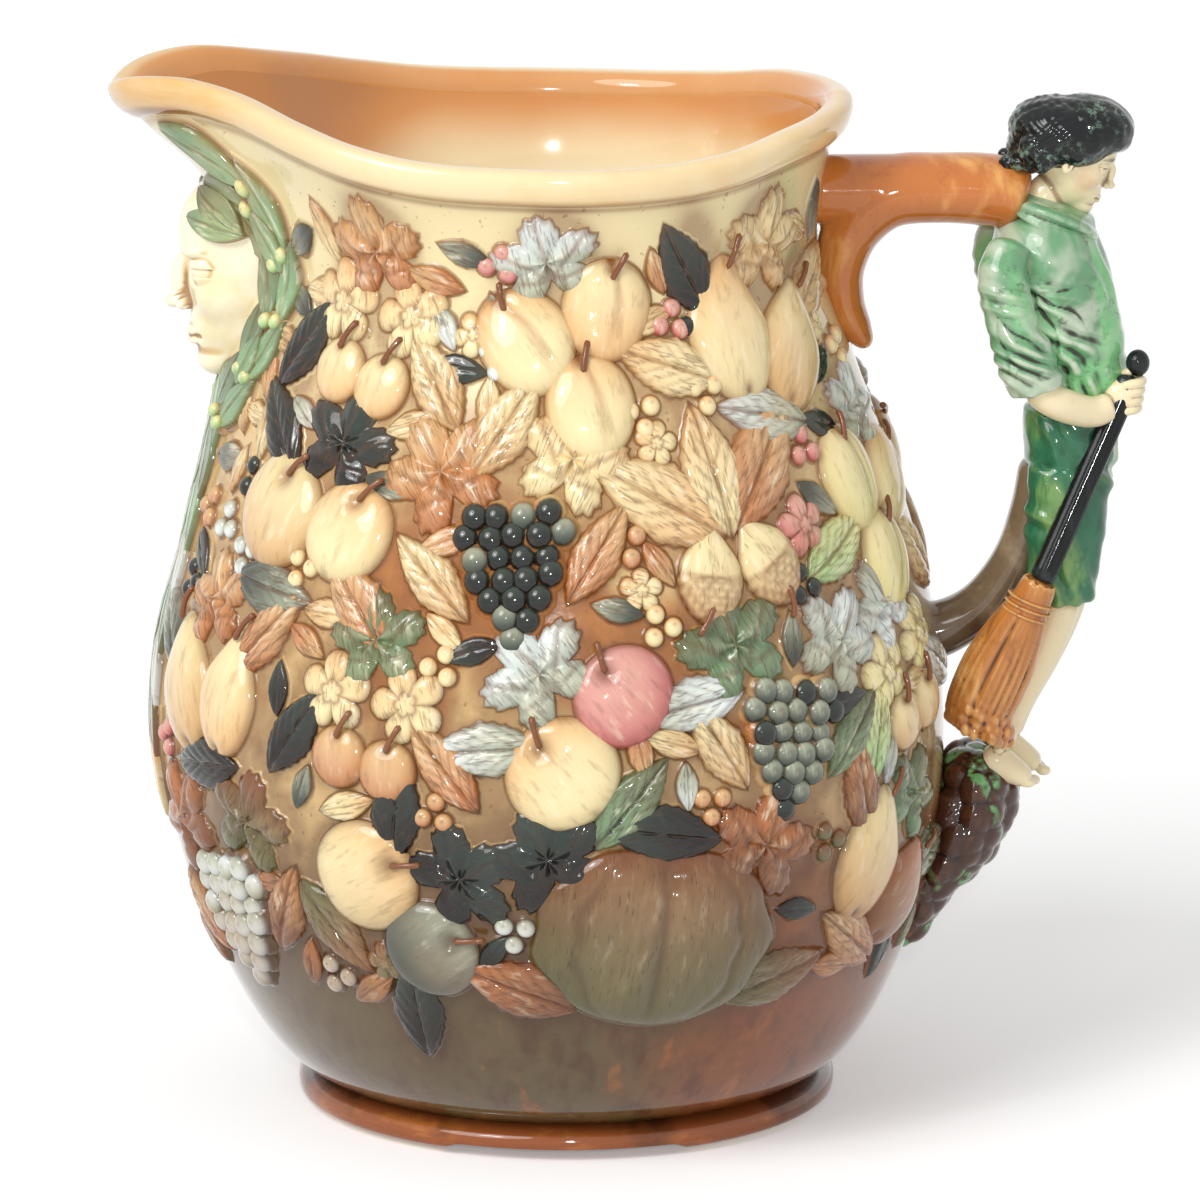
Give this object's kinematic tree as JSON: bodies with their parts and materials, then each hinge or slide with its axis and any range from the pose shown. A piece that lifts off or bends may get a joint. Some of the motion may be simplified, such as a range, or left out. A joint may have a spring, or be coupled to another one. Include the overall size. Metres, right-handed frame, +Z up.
{
  "type": "figural relief jug",
  "caption": "Loving jug of glazed pottery with a flared spout, sprigged fruit relief on a baluster body and a handle shaped as a standing harvester on a rocky mound.",
  "frame": {"origin": "middle of the jug's plan box, on the plane of its foot", "axes": "+Z up along the jug's axis; +X from the spout towards the handle; +Y away from the viewer in the picture"},
  "size_m": [0.2586, 0.2022, 0.2635],
  "materials": {
    "body": "gloss",
    "lip": "gloss",
    "foot": "gloss",
    "mask": "gloss",
    "leaf": "gloss",
    "skin": "gloss",
    "hair": "gloss",
    "collar": "gloss",
    "smock": "gloss",
    "breeches": "gloss",
    "sleeve": "gloss",
    "staff": "gloss",
    "sheaf": "gloss",
    "sheaf_tie": "gloss",
    "bracket": "gloss",
    "strut": "gloss",
    "mound": "gloss",
    "spray_cherries": "gloss",
    "spray_plums": "gloss",
    "spray_pears": "gloss",
    "spray_apples": "gloss",
    "spray_grapes": "gloss",
    "spray_acorns": "gloss",
    "spray_gourd": "gloss"
  },
  "bodies": {
    "root": {"body_wall": "body", "rim_band": "lip", "foot_ring": "foot", "mask_face": "mask", "wreath_front": "leaf", "wreath_back": "leaf", "leaf_trail": "leaf", "figure_head": "skin", "figure_hair": "hair", "figure_collar": "collar", "figure_smock": "smock", "figure_breeches": "breeches", "figure_sleeve_right": "sleeve", "figure_forearm_right": "skin", "figure_leg_right": "skin", "figure_sleeve_left": "sleeve", "figure_forearm_left": "skin", "figure_leg_left": "skin", "staff": "staff", "staff_knob": "staff", "sheaf": "sheaf", "sheaf_tie": "sheaf_tie", "handle_bracket": "bracket", "handle_strut": "strut", "mound": "mound", "spray_front_01": "spray_cherries", "spray_back_01": "spray_cherries", "spray_front_02": "spray_plums", "spray_back_02": "spray_plums", "spray_front_03": "spray_pears", "spray_back_03": "spray_pears", "spray_front_04": "spray_apples", "spray_back_04": "spray_apples", "spray_front_05": "spray_grapes", "spray_back_05": "spray_grapes", "spray_front_06": "spray_acorns", "spray_back_06": "spray_acorns", "spray_front_07": "spray_plums", "spray_back_07": "spray_plums", "spray_front_08": "spray_pears", "spray_back_08": "spray_pears", "spray_front_09": "spray_cherries", "spray_back_09": "spray_cherries", "spray_front_10": "spray_apples", "spray_back_10": "spray_apples", "spray_front_11": "spray_grapes", "spray_back_11": "spray_grapes", "spray_front_12": "spray_cherries", "spray_back_12": "spray_cherries", "spray_front_13": "spray_grapes", "spray_back_13": "spray_grapes", "spray_front_14": "spray_apples", "spray_back_14": "spray_apples", "spray_front_15": "spray_gourd", "spray_back_15": "spray_gourd", "spray_front_16": "spray_pears", "spray_back_16": "spray_pears"}
  },
  "joints": []
}
